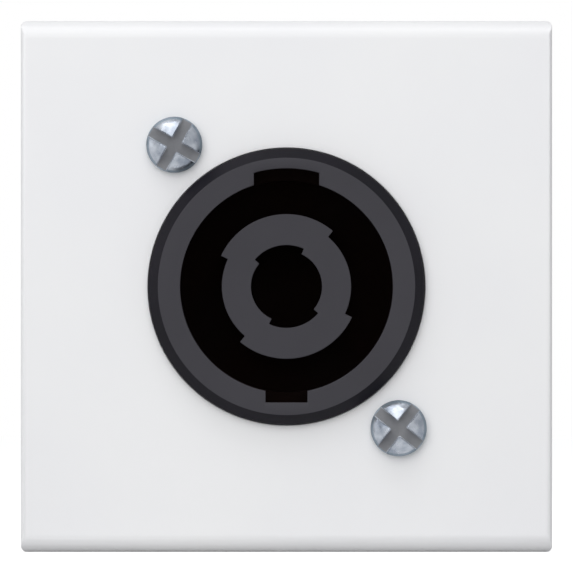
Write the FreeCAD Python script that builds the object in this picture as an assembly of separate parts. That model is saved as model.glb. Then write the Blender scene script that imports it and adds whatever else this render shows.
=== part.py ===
import FreeCAD, Part
import math
import os

# Speaker wall socket: a square white wall module that carries a round four-pole twist-lock
# speaker socket. The socket's flange sits behind the plate and two pan head screws hold it.
# All sizes are millimetres. +X is right and +Z is up as seen from the room, +Y goes into the wall.
# The origin is on the plug's axis, in the plane of the socket's front rim.
# Bearings are degrees about the plug's axis, from +X towards +Z.

vec = FreeCAD.Vector
origin = vec(0, 0, 0)
into_wall = vec(0, 1, 0)
out_of_wall = vec(0, -1, 0)

# Front plate: one white moulding with a skirt that goes into the mounting frame
plate_width = 45.0
plate_height = 45.0
plate_thickness = 2.4
plate_edge_depth = 6.6
long_edge_radius = 1.5
side_edge_radius = 0.5
corner_radius = 0.5
skirt_inset = 0.8
skirt_depth = 9.0
skirt_wall = 1.5

# Snap clips in the skirt's top and bottom walls, rooted at the rear, each with a lug at its tip
frame_rib = 2.4
clip_spacing = 22.5
clip_width = 7.0
clip_length = 4.6
clip_slot = 1.0
lug_setback = 0.1
lug_land = 0.6

# Ribs behind the plate, and the low wall that locates the socket's flange
rib_thickness = 1.2
rib_height = 3.0
rib_spacing_x = 15.0
rib_spacing_z = 17.0
locating_wall = 1.2
locating_height = 1.7
locating_gap = 0.15

# Socket housing: collar through the plate, flange behind it, sleeve to the rear
plug_bore_diameter = 18.0
collar_wall = 2.7
collar_projection = 1.5
collar_gap = 0.05
rim_bevel_width = 0.8
rim_bevel_depth = 0.8
plug_depth = 17.0
neck_length = 3.0
sleeve_wall = 1.3
flange_thickness = 2.2
flange_edge = 3.5
gusset_thickness = 1.4
gusset_reach = 2.6
gusset_length = 5.0

# Twist-lock keyways: a wide one at the top, a narrow one at the bottom, each turning into a groove
wide_key_width = 5.52
narrow_key_width = 3.54
wide_key_depth = 1.0
narrow_key_depth = 0.81
key_length = 10.0
lock_groove_width = 4.0
lock_turn = 45.0

# Fixing screws through plate and flange, on a diagonal: 19 mm apart across and 24 mm up
fixing_land = 3.605
fixing_bearing = 128.37
screw_diameter = 2.5
screw_length = 8.0
screw_clearance = 0.2
head_diameter = 4.75
head_height = 1.9
head_rim_height = 0.75
recess_width = 0.97
recess_depth = 1.25
upper_recess_bearing = 60.5
lower_recess_bearing = 51.5
washer_diameter = 5.1
washer_thickness = 0.6
washer_split = 0.5
nut_across_flats = 5.0
nut_height = 2.0
thread_gap = 0.02

# Contact carrier: stepped tube for the plug's centre, neck in the sleeve, terminal body behind it
tube_diameter = 10.96
tube_setback = 0.5
tube_rise = 0.65
tube_rise_bearing = 102.5
tube_rise_span = 105.0
post_bore_diameter = 6.0
post_bore_depth = 16.1
post_step = 0.5
post_step_span = 74.5
neck_gap = 0.2
body_length = 10.5
body_edge_bevel = 0.5
snap_bearing = 57.5
snap_width = 4.0
snap_rise = 0.9
snap_front = 0.3
snap_length = 1.5
snap_gap = 0.2

# Contacts: four strips, two flush with the tube's outside and two flush with its bore
sheet = 0.8
contact_relief = 0.03
contact_setback = 3.0
outer_blade_span = 36.0
inner_blade_span = 64.0
tail_width = 3.4
tail_length = 7.4
shoulder_width = 4.8
shoulder_length = 1.4
shoulder_setback = 0.3
slot_gap = 0.04

# Screw terminals: a brass cage round each contact's tail, with a clamp screw from the side
cage_width = 5.4
cage_wall = 0.8
cage_roof = 1.7
cage_length = 6.4
cage_edge_bevel = 0.3
wire_room = 2.4
cage_gap = 0.1
tail_gap = 0.05
cell_roof = 1.25
clamp_screw_diameter = 3.0
clamp_screw_length = 4.0
clamp_screw_sink = 0.1
clamp_screw_bevel = 0.25
clamp_slot_width = 0.6
clamp_slot_depth = 0.9
clamp_hole_gap = 0.3

# Worked out from the sizes above
over = 1.0
plate_front = collar_projection
plate_back = plate_front + plate_thickness
seat_plane = plate_front + plate_edge_depth
skirt_end = seat_plane + skirt_depth
skirt_width = plate_width - 2 * skirt_inset
skirt_height = plate_height - 2 * skirt_inset
cavity_width = skirt_width - 2 * skirt_wall
cavity_height = skirt_height - 2 * skirt_wall

bore_radius = plug_bore_diameter / 2
collar_radius = bore_radius + collar_wall
flange_back = plate_back + flange_thickness
sleeve_end = plug_depth + neck_length
seat_radius = collar_radius - sleeve_wall
seat_step = plug_depth - neck_gap
wide_key_radius = bore_radius + wide_key_depth
narrow_key_radius = bore_radius + narrow_key_depth
groove_front = key_length - lock_groove_width

fixing_radius = collar_radius + fixing_land
fixing_x = fixing_radius * math.cos(math.radians(fixing_bearing))
fixing_z = fixing_radius * math.sin(math.radians(fixing_bearing))
fixing_hole_radius = screw_diameter / 2 + screw_clearance
flange_width = 2 * (abs(fixing_x) + flange_edge)
flange_height = 2 * (abs(fixing_z) + flange_edge)

tube_radius = tube_diameter / 2
raised_radius = tube_radius + tube_rise
post_radius = post_bore_diameter / 2
post_floor = tube_setback + post_bore_depth
neck_radius = seat_radius - neck_gap
body_end = sleeve_end + body_length

outer_blade_top = raised_radius - contact_relief
outer_blade_foot = outer_blade_top - sheet
inner_blade_foot = post_radius + contact_relief
inner_blade_top = inner_blade_foot + sheet
blade_front = tube_setback + contact_setback
tail_foot = outer_blade_top * math.cos(math.radians(outer_blade_span / 2)) - 0.8 * sheet
tail_top = tail_foot + sheet
shoulder_front = sleeve_end + shoulder_setback
shoulder_back = shoulder_front + shoulder_length
tail_end = shoulder_front + tail_length

window_foot = tail_foot - tail_gap
window_top = tail_top + wire_room
cage_foot = window_foot - cage_wall
cage_top = window_top + cage_roof
window_width = cage_width - 2 * cage_wall
cage_front = shoulder_back + cage_gap
cage_back = cage_front + cage_length
clamp_depth = (cage_front + cage_back) / 2
body_radius = cage_top + cage_gap + cell_roof
clamp_screw_out = body_radius - clamp_screw_sink
clamp_screw_in = clamp_screw_out - clamp_screw_length

pole_bearings = {
    "1_plus": tube_rise_bearing,
    "2_minus": tube_rise_bearing + 90,
    "1_minus": tube_rise_bearing + 180,
    "2_plus": tube_rise_bearing + 270,
}
outer_poles = ("1_plus", "1_minus")


def at_bearing(shape, degrees):
    """The shape, turned about the plug's axis."""
    turned = shape.copy()
    turned.rotate(origin, out_of_wall, degrees)
    return turned


def moved(shape, x, y, z):
    """A copy of the shape at another place."""
    copied = shape.copy()
    copied.translate(vec(x, y, z))
    return copied


def block(x_from, x_to, y_from, y_to, z_from, z_to):
    """A rectangular block between two corners."""
    return Part.makeBox(x_to - x_from, y_to - y_from, z_to - z_from, vec(x_from, y_from, z_from))


def centred_block(width, height, front, back):
    """A rectangular block round the plug's axis."""
    return block(-width / 2, width / 2, front, back, -height / 2, height / 2)


def rounded_block(width, height, radius, front, back):
    """A block round the plug's axis with its four long edges rounded."""
    return round_edges(centred_block(width, height, front, back), radius, "y")


def rod(radius, front, back):
    """A round bar on the plug's axis."""
    return Part.makeCylinder(radius, back - front, vec(0, front, 0), into_wall)


def turning(points, degrees=360):
    """A closed outline of (radius, depth) points, turned about the plug's axis from bearing 0."""
    corners = [vec(radius, depth, 0) for radius, depth in points]
    outline = Part.makePolygon(corners + corners[:1])
    return Part.Face(outline).revolve(origin, out_of_wall, degrees)


def sector(inner, outer, bearing, span, front, back):
    """Part of a ring, with its middle at a bearing."""
    outline = [(inner, front), (outer, front), (outer, back), (inner, back)]
    return at_bearing(turning(outline, span), bearing - span / 2)


def side_profile(points, thickness):
    """A closed outline of (radius, depth) points at bearing 0, given a thickness across."""
    corners = [vec(radius, depth, -thickness / 2) for radius, depth in points]
    outline = Part.makePolygon(corners + corners[:1])
    return Part.Face(outline).extrude(vec(0, 0, thickness))


def edges_along(shape, axis, wanted=None):
    """The straight edges that run along one axis, filtered by their middle point."""
    found = []
    for edge in shape.Edges:
        start, end = edge.Vertexes[0].Point, edge.Vertexes[-1].Point
        run = end.sub(start)
        along = abs(getattr(run, axis))
        if along > 0.999 * run.Length and (wanted is None or wanted((start + end) * 0.5)):
            found.append(edge)
    return found


def round_edges(shape, radius, axis, wanted=None):
    """The shape with the chosen straight edges rounded."""
    return shape.makeFillet(radius, edges_along(shape, axis, wanted))


def front_block():
    """The visible block: its long top and bottom edges are well rounded, its sides nearly square."""
    plain = centred_block(plate_width, plate_height, plate_front, seat_plane)

    def at_front(middle):
        return abs(middle.y - plate_front) < 0.01

    long_edges = round_edges(plain, long_edge_radius, "x", at_front)
    side_edges = round_edges(plain, side_edge_radius, "z", at_front)
    corners = round_edges(plain, corner_radius, "y")
    return long_edges.common(side_edges).common(corners)


def plate_ribs():
    """Stiffening ribs across the back of the plate and the wall that locates the flange."""
    rib_back = plate_back + rib_height
    rib_width = cavity_width + skirt_wall
    rib_length = cavity_height + skirt_wall
    ribs = []
    for side in (-1, 1):
        across = centred_block(rib_width, rib_thickness, plate_back - over, rib_back)
        upright = centred_block(rib_thickness, rib_length, plate_back - over, rib_back)
        ribs.append(moved(across, 0, 0, side * rib_spacing_z / 2))
        ribs.append(moved(upright, side * rib_spacing_x / 2, 0, 0))
    wall_growth = 2 * (locating_gap + locating_wall)
    wall = rounded_block(
        flange_width + wall_growth,
        flange_height + wall_growth,
        flange_edge + locating_gap + locating_wall,
        plate_back - over,
        plate_back + locating_height,
    )
    return wall.multiFuse(ribs)


def clip_opening():
    """The U-shaped slot that frees one clip in the skirt's top wall."""
    half = clip_width / 2
    tip = seat_plane + frame_rib
    root = tip + clip_length
    top = skirt_height / 2 + over
    foot = cavity_height / 2 - over
    across = block(-half - clip_slot, half + clip_slot, tip - clip_slot, tip, foot, top)
    sides = [
        block(x, x + clip_slot, tip - clip_slot, root, foot, top)
        for x in (-half - clip_slot, half)
    ]
    return across.multiFuse(sides)


def clip_lug():
    """The ramped lug on one clip in the top wall, with its square shoulder towards the front."""
    wall_top = skirt_height / 2
    lug_top = wall_top + skirt_inset - lug_setback
    tip = seat_plane + frame_rib
    outline = [
        (wall_top - skirt_wall / 2, tip),
        (lug_top, tip),
        (lug_top, tip + lug_land),
        (wall_top, tip + clip_length),
        (wall_top - skirt_wall / 2, tip + clip_length),
    ]
    return at_bearing(side_profile(outline, clip_width), 90)


def fixing_holes(front, back):
    """The two holes for the fixing screws."""
    hole = rod(fixing_hole_radius, front, back)
    return moved(hole, fixing_x, 0, fixing_z).fuse(moved(hole, -fixing_x, 0, -fixing_z))


def front_plate():
    """The white plate with its skirt, clips, ribs and holes."""
    skirt = rounded_block(skirt_width, skirt_height, corner_radius, seat_plane - over, skirt_end)
    body = front_block().fuse(skirt)
    body = body.cut(centred_block(cavity_width, cavity_height, plate_back, skirt_end + over))
    body = body.fuse(plate_ribs())
    pocket = rounded_block(
        flange_width + 2 * locating_gap,
        flange_height + 2 * locating_gap,
        flange_edge + locating_gap,
        plate_back,
        skirt_end + over,
    )
    body = body.cut(pocket)
    body = body.cut(rod(collar_radius + collar_gap, plate_front - over, plate_back + over))
    body = body.cut(fixing_holes(plate_front - over, plate_back + over))
    for side in (-1, 1):
        for turn in (0, 180):
            x = side * clip_spacing / 2
            body = body.cut(at_bearing(moved(clip_opening(), x, 0, 0), turn))
            body = body.fuse(at_bearing(moved(clip_lug(), x, 0, 0), turn))
    return body.removeSplitter()


def keyways():
    """The two keyways and the grooves that the plug's lugs turn into."""
    half_wide = wide_key_width / 2
    half_narrow = narrow_key_width / 2
    wide = block(-half_wide, half_wide, -over, key_length, 0, wide_key_radius + over)
    wide = wide.common(rod(wide_key_radius, -over, key_length))
    narrow = block(-half_narrow, half_narrow, -over, key_length, -narrow_key_radius, 0)
    grooves = []
    for key_bearing, width, radius in (
        (90, wide_key_width, wide_key_radius),
        (270, narrow_key_width, narrow_key_radius),
    ):
        span = lock_turn + math.degrees(math.asin(width / 2 / radius))
        middle = key_bearing - span / 2
        grooves.append(sector(bore_radius / 2, radius, middle, span, groove_front, key_length))
    return wide.multiFuse([narrow] + grooves)


def snap_windows():
    """The two windows in the sleeve that the carrier's noses snap into."""
    front = seat_step + snap_front
    back = plug_depth + snap_front + snap_length + snap_gap
    width = snap_width + 2 * snap_gap
    window = block(seat_radius - over, collar_radius + over, front, back, -width / 2, width / 2)
    return at_bearing(window, snap_bearing).fuse(at_bearing(window, snap_bearing + 180))


def connector_housing():
    """The dark moulded housing: bevelled collar, flange, sleeve, keyways and fixing holes."""
    body = turning(
        [
            (0, 0),
            (collar_radius - rim_bevel_width, 0),
            (collar_radius, rim_bevel_depth),
            (collar_radius, sleeve_end),
            (0, sleeve_end),
        ]
    )
    flange = rounded_block(flange_width, flange_height, flange_edge, plate_back, flange_back)
    gusset = side_profile(
        [
            (collar_radius - sleeve_wall / 2, flange_back - flange_thickness / 2),
            (collar_radius + gusset_reach, flange_back - flange_thickness / 2),
            (collar_radius + gusset_reach, flange_back),
            (collar_radius, flange_back + gusset_length),
            (collar_radius - sleeve_wall / 2, flange_back + gusset_length),
        ],
        gusset_thickness,
    )
    free_corner = 180 - fixing_bearing
    gussets = [at_bearing(gusset, free_corner), at_bearing(gusset, free_corner + 180)]
    body = body.multiFuse([flange] + gussets)
    body = body.cut(rod(bore_radius, -over, sleeve_end))
    body = body.cut(rod(seat_radius, seat_step, sleeve_end + over))
    body = body.cut(keyways())
    body = body.cut(snap_windows())
    body = body.cut(fixing_holes(plate_back - over, flange_back + over))
    return body.removeSplitter()


def snap_nose():
    """One ramped nose on the carrier's neck."""
    front = plug_depth + snap_front
    outline = [
        (neck_radius - over, front),
        (neck_radius, front),
        (neck_radius + snap_rise, front + 0.6 * snap_length),
        (neck_radius + snap_rise, front + snap_length),
        (neck_radius - over, front + snap_length),
    ]
    return side_profile(outline, snap_width)


def blade_radii(pole):
    """(inner radius, outer radius, span) of a contact's curved blade."""
    if pole in outer_poles:
        return outer_blade_foot, outer_blade_top, outer_blade_span
    return inner_blade_foot, inner_blade_top, inner_blade_span


def contact(pole):
    """One stamped contact: curved blade, shoulders that seat in the carrier, and a flat tail."""
    foot, top, span = blade_radii(pole)
    web_foot = min(foot + sheet / 4, tail_foot)
    blade = sector(foot, top, 0, span, blade_front, shoulder_front + sheet)
    web_back = shoulder_front + sheet
    web = block(web_foot, tail_top, shoulder_front, web_back, -tail_width / 2, tail_width / 2)
    shoulders = block(
        tail_foot, tail_top, shoulder_front, shoulder_back, -shoulder_width / 2, shoulder_width / 2
    )
    tail = block(tail_foot, tail_top, shoulder_front, tail_end, -tail_width / 2, tail_width / 2)
    whole = blade.multiFuse([web, shoulders, tail]).removeSplitter()
    return at_bearing(whole, pole_bearings[pole])


def clamp_rod(radius, inner, outer):
    """A round bar on the axis of the clamp screw at bearing 0."""
    return Part.makeCylinder(radius, outer - inner, vec(inner, clamp_depth, 0), vec(1, 0, 0))


def contact_cell(pole):
    """The room that one contact and its terminal take out of the carrier, open to the rear."""
    foot, top, span = blade_radii(pole)
    slot_span = span + 2 * math.degrees(slot_gap / foot)
    slot_front = blade_front - slot_gap
    rear = body_end + over
    if pole in outer_poles:
        slot = sector(foot - slot_gap, top + slot_gap, 0, slot_span, slot_front, rear)
        mouth = sector(foot - slot_gap, top + over, 0, slot_span, slot_front, plug_depth)
    else:
        slot = sector(foot, top + slot_gap, 0, slot_span, slot_front, rear)
        mouth = sector(post_radius / 2, top, 0, slot_span, slot_front, post_floor)
    web_foot = min(foot + sheet / 4, tail_foot) - slot_gap
    half_tail = tail_width / 2 + slot_gap
    half_shoulder = shoulder_width / 2 + slot_gap
    half_cell = cage_width / 2 + cage_gap
    web_room = block(web_foot, tail_top + slot_gap, shoulder_front, rear, -half_tail, half_tail)
    shoulder_room = block(
        tail_foot - slot_gap,
        tail_top + slot_gap,
        shoulder_front,
        rear,
        -half_shoulder,
        half_shoulder,
    )
    cage_room = block(
        cage_foot - cage_gap, cage_top + cage_gap, shoulder_back, rear, -half_cell, half_cell
    )
    screw_hole = clamp_rod(clamp_screw_diameter / 2 + clamp_hole_gap, cage_top, body_radius + over)
    cell = slot.multiFuse([mouth, web_room, shoulder_room, cage_room, screw_hole])
    return at_bearing(cell, pole_bearings[pole])


def contact_carrier():
    """The dark moulded carrier: stepped tube, neck with snap noses, and terminal body."""
    tube_end = plug_depth + over
    tube = rod(tube_radius, tube_setback, tube_end)
    raised = [
        sector(tube_radius / 2, raised_radius, bearing, tube_rise_span, tube_setback, tube_end)
        for bearing in (tube_rise_bearing, tube_rise_bearing + 180)
    ]
    neck = rod(neck_radius, plug_depth, sleeve_end + over)
    body = turning(
        [
            (0, sleeve_end),
            (body_radius, sleeve_end),
            (body_radius, body_end - body_edge_bevel),
            (body_radius - body_edge_bevel, body_end),
            (0, body_end),
        ]
    )
    noses = [at_bearing(snap_nose(), snap_bearing + turn) for turn in (0, 180)]
    whole = tube.multiFuse(raised + [neck, body] + noses)
    whole = whole.cut(rod(post_radius, tube_setback - over, post_floor))
    step_radius = post_radius + post_step
    for turn in (0, 180):
        bearing = tube_rise_bearing + turn
        front = tube_setback - over
        step = sector(post_radius / 2, step_radius, bearing, post_step_span, front, post_floor)
        whole = whole.cut(step)
    for pole in pole_bearings:
        whole = whole.cut(contact_cell(pole))
    return whole.removeSplitter()


def terminal_cage(pole):
    """One brass cage: a short square tube with a thick roof tapped for the clamp screw."""
    outside = block(cage_foot, cage_top, cage_front, cage_back, -cage_width / 2, cage_width / 2)
    outside = outside.makeChamfer(cage_edge_bevel, edges_along(outside, "y"))
    half_window = window_width / 2
    window = block(
        window_foot, window_top, cage_front - over, cage_back + over, -half_window, half_window
    )
    tapped = clamp_rod(clamp_screw_diameter / 2 + thread_gap, window_top - over, cage_top + over)
    return at_bearing(outside.cut(window).cut(tapped), pole_bearings[pole])


def clamp_screw(pole):
    """One slotted clamp screw, standing radially in its cage."""
    radius = clamp_screw_diameter / 2
    bevel = clamp_screw_bevel
    outline = [
        (clamp_screw_in, 0),
        (clamp_screw_out, 0),
        (clamp_screw_out, radius - bevel),
        (clamp_screw_out - bevel, radius),
        (clamp_screw_in, radius),
    ]
    corners = [vec(along, across, 0) for along, across in outline]
    body = Part.Face(Part.makePolygon(corners + corners[:1])).revolve(origin, vec(1, 0, 0), 360)
    half_slot = clamp_slot_width / 2
    slot_floor = clamp_screw_out - clamp_slot_depth
    slot = block(slot_floor, clamp_screw_out + over, -half_slot, half_slot, -radius, radius)
    return at_bearing(moved(body.cut(slot), 0, clamp_depth, 0), pole_bearings[pole])


def pan_head():
    """The domed screw head with its flat seat at depth 0, crossed by two full-width slots."""
    radius = head_diameter / 2
    rise = head_height - head_rim_height
    dome_radius = (radius**2 + rise**2) / (2 * rise)
    dome = Part.makeSphere(dome_radius, vec(0, dome_radius - head_height, 0))
    head = rod(radius, -head_height, 0).common(dome)
    return head.cut(cross_recess())


def cross_recess():
    """Two crossed slots with flat floors that run out through the head's rim."""
    half = recess_width / 2
    floor = recess_depth - head_height
    slot = block(-head_diameter, head_diameter, -head_height - over, floor, -half, half)
    return slot.fuse(at_bearing(slot, 90))


def fixing_screw(recess_bearing):
    """A pan head screw, its head's seat at depth 0."""
    shank = rod(screw_diameter / 2, -head_rim_height / 2, screw_length)
    return at_bearing(pan_head().fuse(shank).removeSplitter(), recess_bearing)


def lock_washer():
    """A split spring washer, flattened under its nut, its front at depth 0."""
    ring = rod(washer_diameter / 2, 0, washer_thickness)
    ring = ring.cut(rod(screw_diameter / 2 + thread_gap, -over, washer_thickness + over))
    half_split = washer_split / 2
    slit = block(0, washer_diameter, -over, washer_thickness + over, -half_split, half_split)
    slit.rotate(vec(0, washer_thickness / 2, 0), vec(1, 0, 0), 25)
    return ring.cut(slit)


def hex_nut():
    """A hexagon nut with its outer rim bevelled, its front at depth 0."""
    corner = nut_across_flats / 2 / math.cos(math.radians(30))
    bevel = corner - nut_across_flats / 2
    corners = [
        vec(corner * math.cos(math.radians(turn)), 0, corner * math.sin(math.radians(turn)))
        for turn in range(0, 360, 60)
    ]
    prism = Part.Face(Part.makePolygon(corners + corners[:1])).extrude(vec(0, nut_height, 0))
    rounding = turning(
        [
            (0, 0),
            (corner, 0),
            (corner, nut_height - bevel),
            (corner - bevel, nut_height),
            (0, nut_height),
        ]
    )
    bore = rod(screw_diameter / 2 + thread_gap, -over, nut_height + over)
    return prism.common(rounding).cut(bore)


def at_fixing(shape, depth, side):
    """The shape on a fixing screw's axis: side 1 is the upper screw, -1 the lower one."""
    return moved(shape, side * fixing_x, depth, side * fixing_z)


def fasteners():
    """Both fixing screws with their lock washers and nuts."""
    pieces = {}
    nut = at_bearing(hex_nut(), fixing_bearing + 30)
    washer = at_bearing(lock_washer(), fixing_bearing)
    for name, side, recess_bearing in (
        ("upper", 1, upper_recess_bearing),
        ("lower", -1, lower_recess_bearing),
    ):
        screw = fixing_screw(recess_bearing)
        pieces[f"fixing_screw_{name}"] = at_fixing(screw, plate_front, side)
        pieces[f"lock_washer_{name}"] = at_fixing(washer, flange_back, side)
        pieces[f"nut_{name}"] = at_fixing(nut, flange_back + washer_thickness, side)
    return pieces


def all_pieces():
    """Every separate piece of the socket, by name."""
    pieces = {
        "front_plate": front_plate(),
        "connector_housing": connector_housing(),
        "contact_carrier": contact_carrier(),
    }
    for pole in pole_bearings:
        pieces[f"contact_{pole}"] = contact(pole)
        pieces[f"terminal_cage_{pole}"] = terminal_cage(pole)
        pieces[f"clamp_screw_{pole}"] = clamp_screw(pole)
    pieces.update(fasteners())
    return pieces


os.makedirs("parts", exist_ok=True)
for name, shape in all_pieces().items():
    solids = shape.Solids
    print(f"{name}: {len(solids)} solid, valid {shape.isValid()}, {shape.Volume:.1f} mm3")
    shape.exportStep(f"parts/{name}.step")
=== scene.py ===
import bpy
import bmesh
import math
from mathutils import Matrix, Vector


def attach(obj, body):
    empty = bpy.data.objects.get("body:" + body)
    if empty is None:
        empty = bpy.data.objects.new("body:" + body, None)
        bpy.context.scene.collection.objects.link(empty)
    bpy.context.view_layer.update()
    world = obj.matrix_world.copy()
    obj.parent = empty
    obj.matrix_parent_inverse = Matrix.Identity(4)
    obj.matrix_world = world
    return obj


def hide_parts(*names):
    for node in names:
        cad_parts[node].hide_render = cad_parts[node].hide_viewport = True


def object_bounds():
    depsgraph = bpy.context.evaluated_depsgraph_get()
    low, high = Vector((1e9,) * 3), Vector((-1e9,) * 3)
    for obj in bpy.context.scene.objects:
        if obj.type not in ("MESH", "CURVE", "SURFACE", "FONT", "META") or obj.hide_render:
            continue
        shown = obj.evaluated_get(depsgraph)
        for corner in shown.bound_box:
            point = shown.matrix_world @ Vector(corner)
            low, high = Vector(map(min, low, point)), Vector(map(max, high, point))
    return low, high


# Speaker wall socket: a white wall module with a dark round twist-lock socket.
# Metres, front towards -Y, the plug's axis is Y, the socket's front rim at y = 0.

mm = 0.001
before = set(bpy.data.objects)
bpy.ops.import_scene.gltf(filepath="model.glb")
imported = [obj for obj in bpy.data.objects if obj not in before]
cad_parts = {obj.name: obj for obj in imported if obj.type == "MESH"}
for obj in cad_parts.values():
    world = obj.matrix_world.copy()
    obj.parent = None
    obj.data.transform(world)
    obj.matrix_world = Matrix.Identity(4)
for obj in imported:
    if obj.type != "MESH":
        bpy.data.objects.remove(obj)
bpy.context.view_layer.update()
bpy.ops.object.select_all(action="DESELECT")


def fromScreen(red, green, blue):
    # a colour as picked on a screen, 0 to 255, in Blender's linear values
    def linear(part):
        part = part / 255
        return part / 12.92 if part <= 0.04045 else ((part + 0.055) / 1.055) ** 2.4

    return (linear(red), linear(green), linear(blue), 1.0)


# Materials

def newMaterial(name):
    material = bpy.data.materials.new(name)
    material.use_nodes = True
    nodes = material.node_tree.nodes
    shader = nodes["Principled BSDF"]
    return material, nodes, material.node_tree.links, shader


def noiseOn(nodes, links, scale, detail=4.0, stretch=(1, 1, 1)):
    place = nodes.new("ShaderNodeTexCoord")
    mapping = nodes.new("ShaderNodeMapping")
    noise = nodes.new("ShaderNodeTexNoise")
    mapping.inputs["Scale"].default_value = stretch
    noise.inputs["Scale"].default_value = scale
    noise.inputs["Detail"].default_value = detail
    links.new(place.outputs["Object"], mapping.inputs["Vector"])
    links.new(mapping.outputs["Vector"], noise.inputs["Vector"])
    return noise


def rampOn(nodes, links, source, low, high, start=0.35, end=0.65):
    ramp = nodes.new("ShaderNodeValToRGB")
    ramp.color_ramp.elements[0].position = start
    ramp.color_ramp.elements[1].position = end
    ramp.color_ramp.elements[0].color = low
    ramp.color_ramp.elements[1].color = high
    links.new(source, ramp.inputs["Fac"])
    return ramp


def rangeOn(nodes, links, source, low, high):
    spread = nodes.new("ShaderNodeMapRange")
    spread.inputs["From Min"].default_value = 0.3
    spread.inputs["From Max"].default_value = 0.7
    spread.inputs["To Min"].default_value = low
    spread.inputs["To Max"].default_value = high
    links.new(source, spread.inputs["Value"])
    return spread


def bumpOn(nodes, links, shader, height, strength, distance):
    bump = nodes.new("ShaderNodeBump")
    bump.inputs["Strength"].default_value = strength
    bump.inputs["Distance"].default_value = distance
    links.new(height, bump.inputs["Height"])
    links.new(bump.outputs["Normal"], shader.inputs["Normal"])
    return bump


def mouldedPlastic(name, finish):
    material, nodes, links, shader = newMaterial(name)
    cloud = noiseOn(nodes, links, finish["cloudScale"], 3.0)
    grain = noiseOn(nodes, links, finish["grainScale"], 5.0)
    tint = rampOn(nodes, links, cloud.outputs["Fac"], finish["darker"], finish["colour"])
    rough = rangeOn(nodes, links, cloud.outputs["Fac"], finish["smooth"], finish["rough"])
    links.new(tint.outputs["Color"], shader.inputs["Base Color"])
    links.new(rough.outputs["Result"], shader.inputs["Roughness"])
    shader.inputs["Specular IOR Level"].default_value = finish["shine"]
    bumpOn(nodes, links, shader, grain.outputs["Fac"], finish["bump"], finish["bumpDepth"])
    return material


def platedMetal(name, finish):
    material, nodes, links, shader = newMaterial(name)
    cloud = noiseOn(nodes, links, finish["cloudScale"], 4.0)
    wave = noiseOn(nodes, links, finish["waveScale"], 1.0)
    grain = noiseOn(nodes, links, finish["grainScale"], 6.0, finish["grainStretch"])
    tint = rampOn(nodes, links, cloud.outputs["Fac"], finish["darker"], finish["colour"])
    rough = rangeOn(nodes, links, grain.outputs["Fac"], finish["smooth"], finish["rough"])
    links.new(tint.outputs["Color"], shader.inputs["Base Color"])
    links.new(rough.outputs["Result"], shader.inputs["Roughness"])
    shader.inputs["Metallic"].default_value = 1.0
    swell = bumpOn(nodes, links, shader, wave.outputs["Fac"], 1.0, finish["waveDepth"])
    fine = bumpOn(nodes, links, shader, grain.outputs["Fac"], finish["bump"], finish["bumpDepth"])
    links.new(swell.outputs["Normal"], fine.inputs["Normal"])
    return material


whitePlate = mouldedPlastic("white plate", {
    "colour": fromScreen(236, 236, 237),
    "darker": fromScreen(233, 233, 235),
    "cloudScale": 60.0,
    "grainScale": 2600.0,
    "smooth": 0.32,
    "rough": 0.42,
    "shine": 0.4,
    "bump": 0.05,
    "bumpDepth": 0.02 * mm,
})
grainedBlack = mouldedPlastic("grained black", {
    "colour": fromScreen(60, 59, 64),
    "darker": fromScreen(56, 55, 60),
    "cloudScale": 180.0,
    "grainScale": 5200.0,
    "smooth": 0.5,
    "rough": 0.62,
    "shine": 0.15,
    "bump": 0.25,
    "bumpDepth": 0.02 * mm,
})
# smoother, ungrained black: its much darker colour is painted shade for the rim's sideways-facing bevel
shadedSmoothBlack = mouldedPlastic("smooth black, painted shade", {
    "colour": fromScreen(24, 22, 29),
    "darker": fromScreen(19, 18, 24),
    "cloudScale": 180.0,
    "grainScale": 4000.0,
    "smooth": 0.34,
    "rough": 0.45,
    "shine": 0.1,
    "bump": 0.1,
    "bumpDepth": 0.01 * mm,
})
# near-black painted shade for the socket's bore, keyways and floors, where the same plastic lies in
# shade
boreShadeBlack = mouldedPlastic("bore painted shade", {
    "colour": fromScreen(28, 15, 12),
    "darker": fromScreen(22, 12, 10),
    "cloudScale": 180.0,
    "grainScale": 4000.0,
    "smooth": 0.6,
    "rough": 0.7,
    "shine": 0.04,
    "bump": 0.1,
    "bumpDepth": 0.01 * mm,
})
zincPlate = platedMetal("zinc plate", {
    "colour": fromScreen(168, 173, 181),
    "darker": fromScreen(126, 133, 144),
    "cloudScale": 900.0,
    "waveScale": 1100.0,
    "waveDepth": 0.09 * mm,
    "grainScale": 2600.0,
    "grainStretch": (1, 1, 1),
    "smooth": 0.24,
    "rough": 0.36,
    "bump": 0.15,
    "bumpDepth": 0.02 * mm,
})
# darker, rougher zinc for the head's edge: its darker colour is a painted reflection of dark
# surroundings
zincRimReflection = platedMetal("zinc rim, painted reflection", {
    "colour": fromScreen(140, 150, 160),
    "darker": fromScreen(116, 128, 138),
    "cloudScale": 900.0,
    "waveScale": 1300.0,
    "waveDepth": 0.03 * mm,
    "grainScale": 2600.0,
    "grainStretch": (1, 1, 1),
    "smooth": 0.5,
    "rough": 0.62,
    "bump": 0.15,
    "bumpDepth": 0.02 * mm,
})
cageBrass = platedMetal("cage brass", {
    "colour": fromScreen(226, 196, 120),
    "darker": fromScreen(208, 176, 100),
    "cloudScale": 700.0,
    "waveScale": 500.0,
    "waveDepth": 0.01 * mm,
    "grainScale": 900.0,
    "grainStretch": (1, 6, 1),
    "smooth": 0.2,
    "rough": 0.34,
    "bump": 0.1,
    "bumpDepth": 0.01 * mm,
})
# matte grey standing for the shade on the screws' slot floors: painted shade
slotFloorShade = mouldedPlastic("slot floor, painted shade", {
    "colour": fromScreen(132, 133, 136),
    "darker": fromScreen(118, 119, 123),
    "cloudScale": 900.0,
    "grainScale": 2400.0,
    "smooth": 0.5,
    "rough": 0.65,
    "shine": 0.3,
    "bump": 0.2,
    "bumpDepth": 0.01 * mm,
})
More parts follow.
